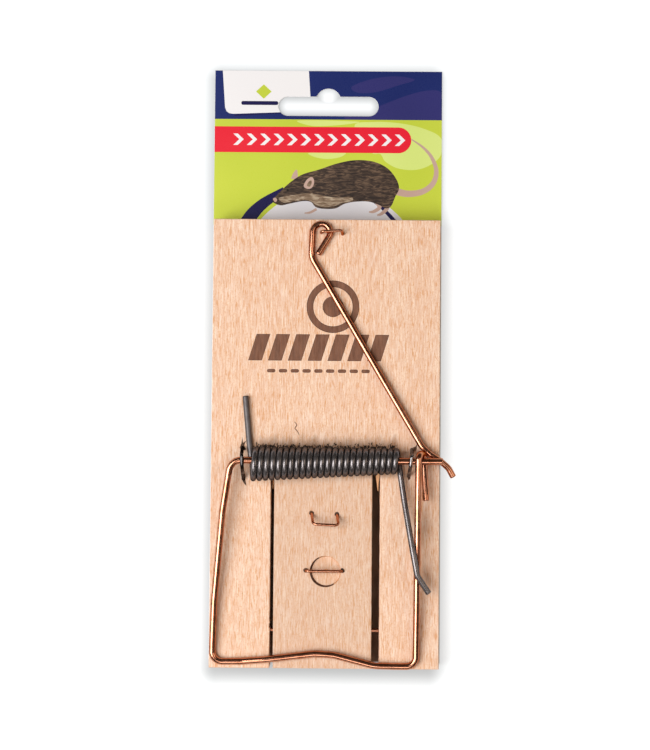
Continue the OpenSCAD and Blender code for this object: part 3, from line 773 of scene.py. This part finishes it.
bowCorners = [
    (bow["shaftEnd"], shaftY, shaftZ),
    leftLeg(0, 0), leftLeg(0.25, 1.3), leftLeg(0.7, 1.3), leftLeg(0.9, 0.52), leftLeg(1, 0),
    (-30, barY + 0.9, barZ), (-22, barY + 1.6, barUp), (-3.5, barY + 3.9, barUp), (3.5, barY + 3.5, barUp),
    (18.5, barY - 0.3, barUp), (26, barY - 0.5, barZ), (legX - 0.3, barY - 0.5, barZ),
    (legX, shaftY - 0.4, shaftZ + hook), (legX + 0.1, shaftY + hook, shaftZ + hook),
    (tailX - 0.1, shaftY + hook, shaftZ - hook),
    (tailX, shaftY - 0.4, shaftZ - hook), (tailX + 0.6, shaftY - 14.5, shaftZ - hook),
]
strikerBow = wire("strikerBow", [bentPath(bowCorners, bow["bends"])], bowWire, copperWire, sides=28, seed=2.0)

lock = {"wire": 2.3, "eye": 3.3, "endRise": 1.2, "bends": [7, 7, 7, 7, 5]}
lockWire = lock["wire"]
eye = Vector((eyeAt.x, eyeAt.y, boardTop + lockWire / 2 + 0.06))
lockEnd = eye.z + lock["endRise"]
apart = (bowWire + lockWire) / 2
lockPath = [eye + Vector((-1.1, -8.2, 0))]
lockPath += [eye + lock["eye"] * Vector((math.cos(math.radians(a)), math.sin(math.radians(a)), 0))
             for a in range(-38, 173, 10)]
lockCorners = [
    lockPath.pop(), eye + Vector((-3.7, -9.2, 0)), (legX + 1.5, shaftY + hook + apart + 0.35, lockEnd - 0.1),
    (tailX + apart - 0.2, shaftY + hook - 0.05, lockEnd), (tailX + 6, shaftY + 0.2, lockEnd),
    (tailX + 9, shaftY - 2.4, lockEnd - 0.3), (tailX + 10.8, shaftY - 5.7, lockEnd - 0.6),
]
lockPath += bentPath(lockCorners, lock["bends"])
lockBar = wire("lockBar", [lockPath], lockWire, copperWire, sides=28, seed=5.0)


staples = {
    "shaftWire": 1.3, "thinWire": 1.05, "depth": 6.0, "shaftCrown": 3.8, "catchLean": Vector((0.6, -3.8, 4.8)),
    "baitRise": 1.6,
}
stapleWire, thinWire = staples["shaftWire"], staples["thinWire"]


def staplePath(a, b, crownA, crownB, radius=0.9):
    a, b = Vector(a), Vector(b)
    down = Vector((0, 0, staples["depth"]))
    return bentPath([a - down, a, crownA, crownB, b, b - down], [radius] * 4, fine=12)


def shaftStaple(name, x0, y0, x1, y1, finish, seed):
    top = shaftZ + bowWire / 2 + 0.1 + stapleWire / 2
    a, b = Vector((x0, shaftY + y0, boardTop)), Vector((x1, shaftY + y1, boardTop))
    crown = Vector(((x0 + x1) / 2, shaftY, top))
    half = staples["shaftCrown"] / 2 * (a - b).normalized()
    path = staplePath(a, b, crown + half, crown - half)
    return wire(name, [path], stapleWire, finish, sides=16, seed=seed)


stapleLeft = shaftStaple("shaftStapleLeft", -30.9, 4.6, -30.4, -7.0, stapleSteelShaded, 3.0)
stapleRight = shaftStaple("shaftStapleRight", 32.2, 4.4, 31.0, -5.6, stapleSteelLit, 7.0)
catchA, catchB = Vector((-4.9, boardLow.y + 57.1, boardTop)), Vector((4.5, boardLow.y + 56.7, boardTop))
lean = staples["catchLean"]
catchStaple = wire("catchStaple", [staplePath(catchA, catchB, catchA + lean, catchB + lean, 1.4)], thinWire, copperWire,
                   sides=16, seed=11.0)
baitA = Vector((recess["x"] - 7.2, recess["y"] + 0.2, boardTop))
baitB = Vector((recess["x"] + 6.1, recess["y"] + 0.2, boardTop))
crownA, crownB = baitA + Vector((0.3, 0, staples["baitRise"])), baitB + Vector((-0.3, 0, staples["baitRise"]))
baitStaple = wire("baitStaple", [staplePath(baitA, baitB, crownA, crownB)], thinWire, copperWire, sides=16, seed=13.0)
lockA, lockB = Vector((eye.x, eye.y, boardTop)), Vector((eye.x + 8, eye.y - 0.5, boardTop))
lockRise = Vector((0, 0, lockWire + thinWire / 2 + 1.3))
lockStaple = wire("lockStaple", [staplePath(lockA, lockB, lockA + lockRise, lockB + lockRise + Vector((-0.4, 1, 0)))],
                  thinWire, copperWire, sides=16, seed=17.0)
pin = {"wire": 1.4, "halfLength": 40}
pivotPin = wire("pivotPin", [[(x, pinAt.y, pinAt.z) for x in (-pin["halfLength"], 0, pin["halfLength"])]],
                pin["wire"], copperWire, sides=16, seed=19.0)

spring = {"wire": 2.2, "left": -27.0, "length": 56.1, "turns": 24, "widthLeft": 13, "widthRight": 9.7, "steps": 36}
springWire = spring["wire"]
floorZ = boardTop + 0.05 + springWire / 2


def coilPoint(t):
    # a place on the coil after t turns: it tapers, and its wide left end sits on the board
    s = t / spring["turns"]
    leftRadius, rightRadius = (spring["widthLeft"] - springWire) / 2, (spring["widthRight"] - springWire) / 2
    r = leftRadius + (rightRadius - leftRadius) * s
    angle = math.radians(-90 - 360 * t)
    lift = (floorZ + leftRadius - shaftZ) * (1 - s)
    return Vector((spring["left"] + (spring["length"] - springWire) * s, shaftY - 1.4 * (1 - s) + r * math.cos(angle),
                   shaftZ + lift + r * math.sin(angle)))


def legHeight(y):
    # the height of the bow's right leg there
    return barZ + (shaftZ + hook - barZ) * (y - barY) / bow["reach"]


first, last = coilPoint(0), coilPoint(spring["turns"])
over = (bowWire + springWire) / 2 + 0.3
springPath = bentPath([(first.x - 2.9, shaftY + 23.8, floorZ), (first.x - 1.1, shaftY + 5, floorZ),
                       (first.x - 0.5, first.y + 2, first.z), first], [6, 3])[:-1]
springPath += [coilPoint(k / spring["steps"]) for k in range(spring["steps"] * spring["turns"] + 1)]
springPath += bentPath([last, (last.x + 0.5, last.y - 2, last.z), (29.2, shaftY - 14, last.z + 1.2),
                        (32.3, shaftY - 32.5, legHeight(shaftY - 32.5) + 0.75 * over),
                        (34.1, shaftY - 42, legHeight(shaftY - 42) + over),
                        (38.4, shaftY - 48.3, legHeight(shaftY - 48.3) + 0.8 * over)], [3, 8, 8, 3.5])[1:]
torsionSpring = wire("torsionSpring", [springPath], springWire, springSteel, sides=16, dents=0.008, seed=23.0)
print("wires done")


for piece, body, node, slotName in (
        (headerCard, "base", "header_card", "card"), (baseBoard, "base", "base_board", "beech"),
        (pivotPin, "base", "pivot_pin", "copper_wire"), (lockStaple, "base", "lock_staple", "copper_wire"),
        (stapleLeft, "base", "shaft_staple_left", "spring_steel"),
        (stapleRight, "base", "shaft_staple_right", "spring_steel"), (strikerBow, "bow", "striker_bow", "copper_wire"),
        (treadlePiece, "treadle", "treadle", "beech"), (catchStaple, "treadle", "catch_staple", "copper_wire"),
        (baitStaple, "treadle", "bait_staple", "copper_wire"), (lockBar, "lock", "lock_bar", "copper_wire")):
    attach(piece, body)
    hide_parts(node)
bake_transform(torsionSpring)
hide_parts("torsion_spring")
for piece in splinters:
    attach(piece, "base")
finishFor = {"header_card": inks["green"], "base_board": beech, "treadle": beech, "torsion_spring": springSteel,
             "shaft_staple_left": stapleSteelShaded, "shaft_staple_right": stapleSteelShaded}
for name, node in frame["nodes"].items():
    for holder in node.material_slots:
        holder.material = finishFor.get(name, copperWire)


stage = {
    # how bright the floor's painted shadow is at the object's foot, the way it takes to clear, and the same for the
    # painted shade in the card's slot
    "foot": 0.49, "reach": 0.0105, "brightness": 0.84, "slotEdge": 0.40, "slotMiddle": 0.86,
    "farEdge": headTop - 4, "nearEdge": boardLow.y - 1.5, "centreX": -0.9, "halfWidth": boardHigh.x - 2.7,
}


def distanceFrom(tree, axes, centre, half):
    # how far a place on the floor is outside a box given in millimetres
    gaps = []
    for axis, middle, size in zip("XY", centre, half):
        offset = sums(tree, "SUBTRACT", axes.outputs[axis], middle * mm)
        reach = addNode(tree, "ShaderNodeMath", {0: offset}, operation="ABSOLUTE").outputs[0]
        gaps.append(sums(tree, "MAXIMUM", sums(tree, "SUBTRACT", reach, size * mm), 0.0))
    away = addNode(tree, "ShaderNodeCombineXYZ", {"X": gaps[0], "Y": gaps[1]}).outputs[0]
    return addNode(tree, "ShaderNodeVectorMath", {0: away}, operation="LENGTH").outputs["Value"]


def floorMaterial():
    # pale and nearly evenly bright, with a painted shadow close round the object, darkest at its near edge, and painted
    # shade round the rim of the card's slot
    material, tree, shader = startMaterial("floorPaleWithPaintedShadow", roughness=0.8)
    place = addNode(tree, "ShaderNodeTexCoord")
    axes = addNode(tree, "ShaderNodeSeparateXYZ", {0: place.outputs["Object"]})
    edgeAt = distanceFrom(tree, axes, (stage["centreX"], (stage["nearEdge"] + stage["farEdge"]) / 2),
                          (stage["halfWidth"], (stage["farEdge"] - stage["nearEdge"]) / 2))
    # painted shadow: colour and glow fall off towards the object
    near = addNode(tree, "ShaderNodeMapRange", {"Value": edgeAt, "From Min": 0.0, "From Max": stage["reach"],
                                                "To Min": stage["foot"], "To Max": 1.0},
                   interpolation_type="SMOOTHSTEP").outputs[0]
    # painted shade on the floor seen through the card's slot, darkest near its rim
    slotAway = sums(tree, "MINIMUM", distanceFrom(tree, axes, (0, card["slotAt"]), (slotHalf, 0)),
                    distanceFrom(tree, axes, (0, card["slotAt"] + 3.4), (0.6, 0.6)))
    slotShadow = times(tree, between(tree, slotAway, 0.0008, 0.0046, stage["slotMiddle"], stage["slotEdge"]),
                   between(tree, slotAway, 0.0075, 0.0085, 1.0, 0.0))
    near = sums(tree, "MAXIMUM", near, slotShadow)
    tone = stretchedNoise(tree, (3, 3, 3), detail=2.0)
    pale = mixColour(tree, spread(tree, tone, 0.0, 1.0), (0.33, 0.345, 0.355), (0.35, 0.36, 0.365))
    tree.links.new(mixColour(tree, near, (0.0, 0.0, 0.0), pale), shader.inputs["Base Color"])
    shader.inputs["Specular IOR Level"].default_value = 0.0
    shader.inputs["Emission Color"].default_value = (0.97, 0.99, 1.0, 1)
    tree.links.new(times(tree, near, stage["brightness"]), shader.inputs["Emission Strength"])
    return material


floorMesh = bpy.data.meshes.new("floor")
body = bmesh.new()
bmesh.ops.create_grid(body, x_segments=8, y_segments=8, size=3.0)
bmesh.ops.translate(body, verts=body.verts, vec=(0, 0, -0.0003))
body.to_mesh(floorMesh)
body.free()
floorMesh.materials.append(floorMaterial())
floor = bpy.data.objects.new("floor", floorMesh)
bpy.context.scene.collection.objects.link(floor)


# soft boxes to the left, to the right (weaker) and beyond the near edge (weaker still), nothing straight above:
# place, what it faces, size, watts and colour
lamps = {
    "keyLeft": ((-0.56, -0.12, 0.84), (0, 0, 0.01), (0.7, 0.8), 12.5, (1, 1, 1)),
    "fillRight": ((0.66, 0.06, 0.74), (0, 0, 0.01), (0.5, 0.7), 1.85, (1, 0.84, 0.68)),
    "lowFront": ((0.0, -0.62, 0.80), (0, -0.04, 0.01), (0.36, 0.42), 1.5, (1, 0.97, 0.94)),
}
for name, (at, target, size, power, colour) in lamps.items():
    data = bpy.data.lights.new(name, "AREA")
    data.shape = "RECTANGLE"
    data.size, data.size_y = size
    data.energy = power
    data.color = colour
    lamp = bpy.data.objects.new(name, data)
    bpy.context.scene.collection.objects.link(lamp)
    lamp.location = at
    lamp.rotation_euler = (Vector(target) - Vector(at)).to_track_quat("-Z", "Y").to_euler()
world = bpy.data.worlds.new("softRoom")
world.use_nodes = True
room = world.node_tree.nodes["Background"].inputs
room["Color"].default_value = (1.0, 0.80, 0.62, 1)
room["Strength"].default_value = 0.06
bpy.context.scene.world = world

view = {"lens": 55.87, "at": (0.00457, -0.0104, 0.6625), "turns": {"Z": -0.0083, "X": -0.0546, "Y": -0.0076}}
lens = bpy.data.cameras.new("camera")
lens.sensor_fit = "VERTICAL"
lens.sensor_height = 24.0
lens.lens = view["lens"]
lens.clip_start = 0.05
lens.dof.use_dof = False
camera = bpy.data.objects.new("camera", lens)
bpy.context.scene.collection.objects.link(camera)
look = Matrix.Identity(3)
for axis, turn in view["turns"].items():
    look = look @ Matrix.Rotation(turn, 3, axis)
camera.matrix_world = Matrix.Translation(view["at"]) @ look.transposed().to_4x4()
bpy.context.scene.camera = camera
bpy.context.scene.view_settings.view_transform = "Standard"
print("stage done")
